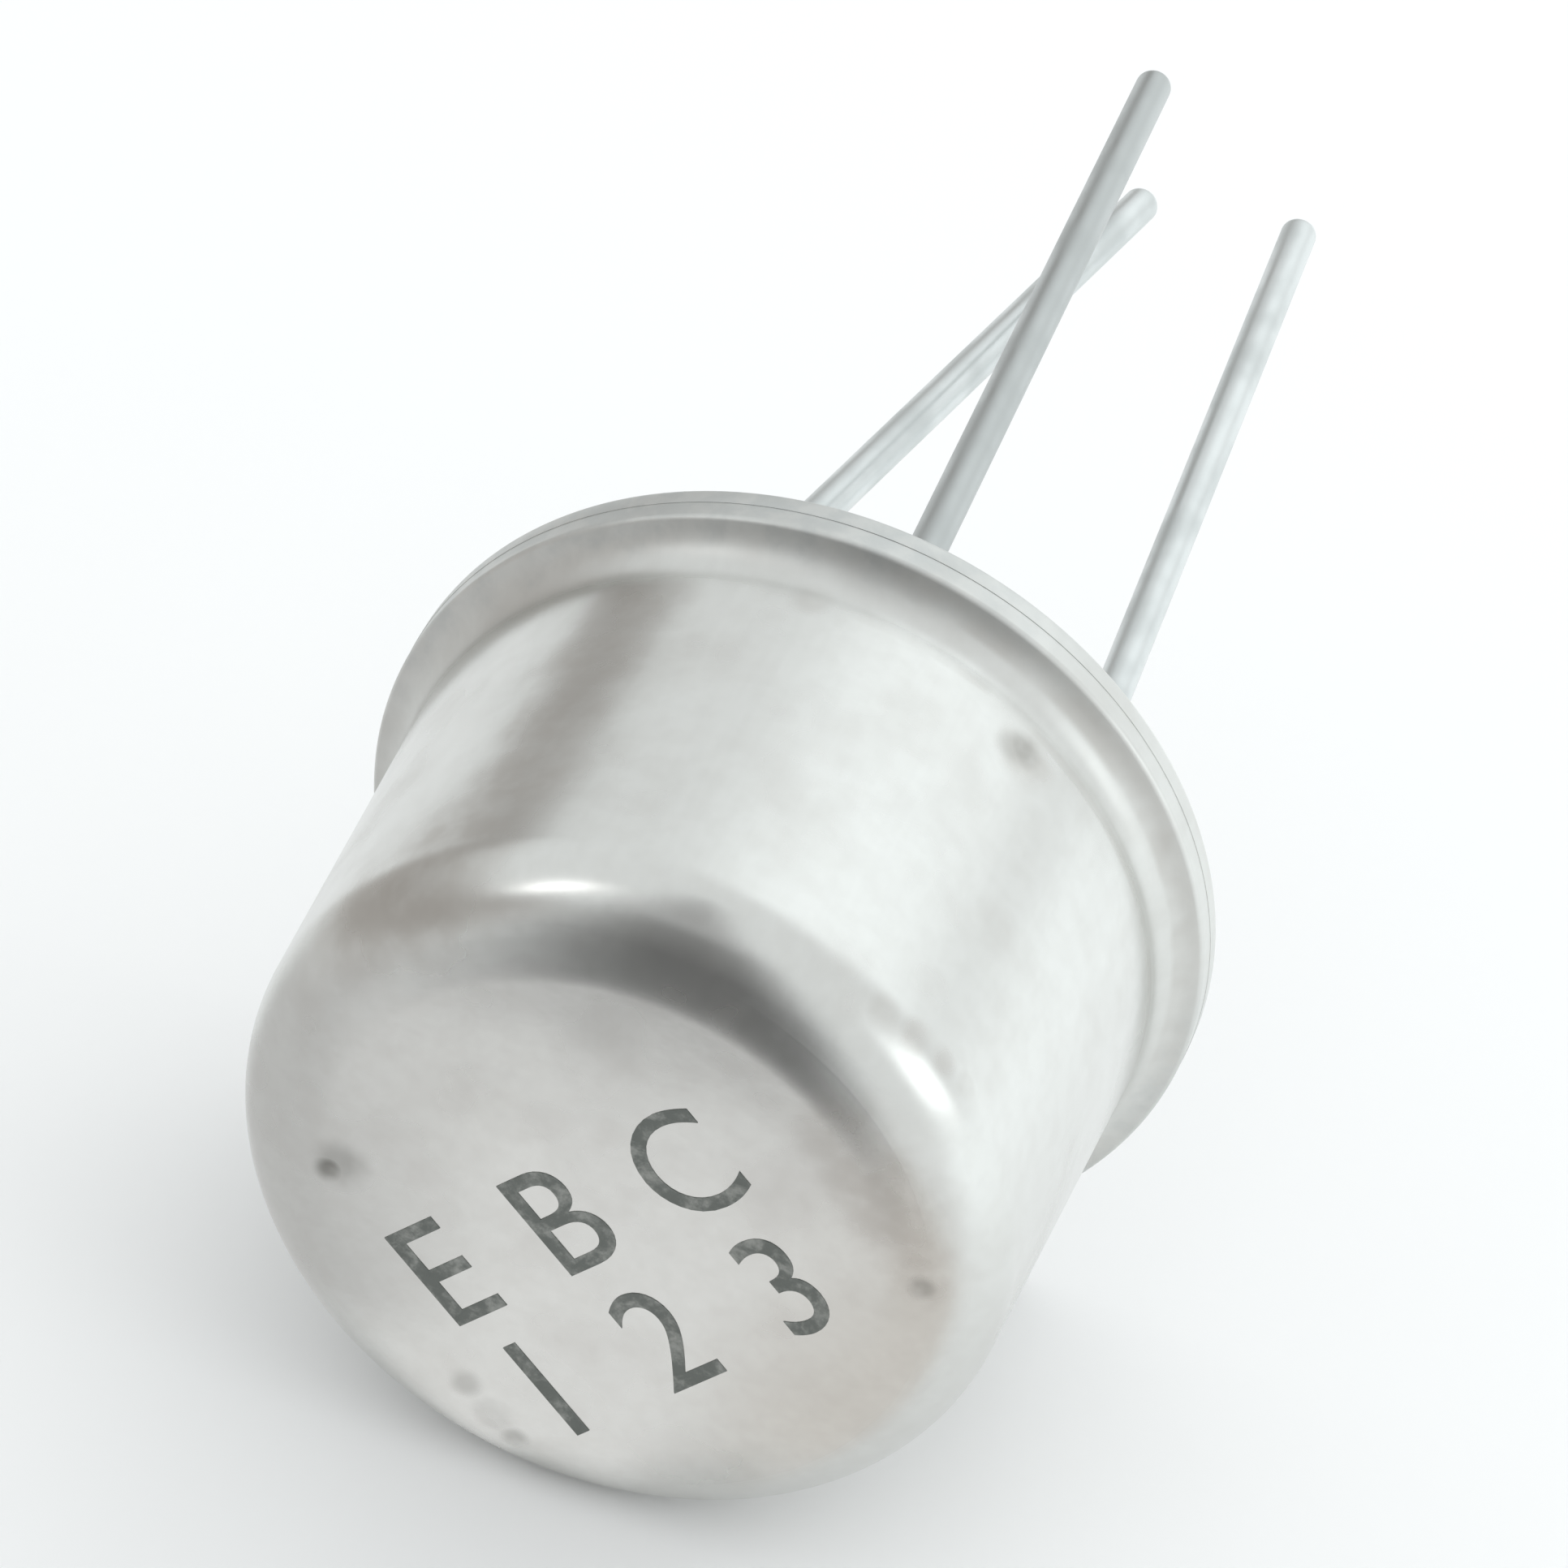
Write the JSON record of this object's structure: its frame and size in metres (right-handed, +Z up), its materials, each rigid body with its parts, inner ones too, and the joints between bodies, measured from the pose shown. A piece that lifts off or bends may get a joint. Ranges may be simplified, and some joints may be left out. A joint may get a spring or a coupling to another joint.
{
  "type": "rf transistor",
  "caption": "Radio-frequency transistor in a round nickel-plated metal can with a flange and index tab, and wire leads out of the base; it lies on its side.",
  "frame": {"origin": "centre of the seating plane, the header's flat underside, on the can's axis", "axes": "the transistor lies on its side: +Z up, the cap towards -Y and dipping a few degrees, the leads towards +Y; the mounts give the can's exact axis"},
  "size_m": [0.009, 0.019, 0.009],
  "materials": {
    "nickel_cap": "satin nickel plate",
    "nickel_header": "satin nickel plate",
    "tinned_lead": "satin tinned wire",
    "seal_glass": "gloss",
    "braze": "satin",
    "gold": "satin gold",
    "silicon": "polished"
  },
  "bodies": {
    "root": {"cap": "nickel_cap", "header": "nickel_header", "emitter_seal": "seal_glass", "base_seal": "seal_glass", "emitter_lead": "tinned_lead", "base_lead": "tinned_lead", "collector_lead": "tinned_lead", "collector_braze": "braze", "die_attach": "gold", "die": "silicon", "emitter_wire_1": "gold", "emitter_wire_2": "gold", "emitter_wire_3": "gold", "base_wire_1": "gold", "base_wire_2": "gold"}
  },
  "joints": []
}
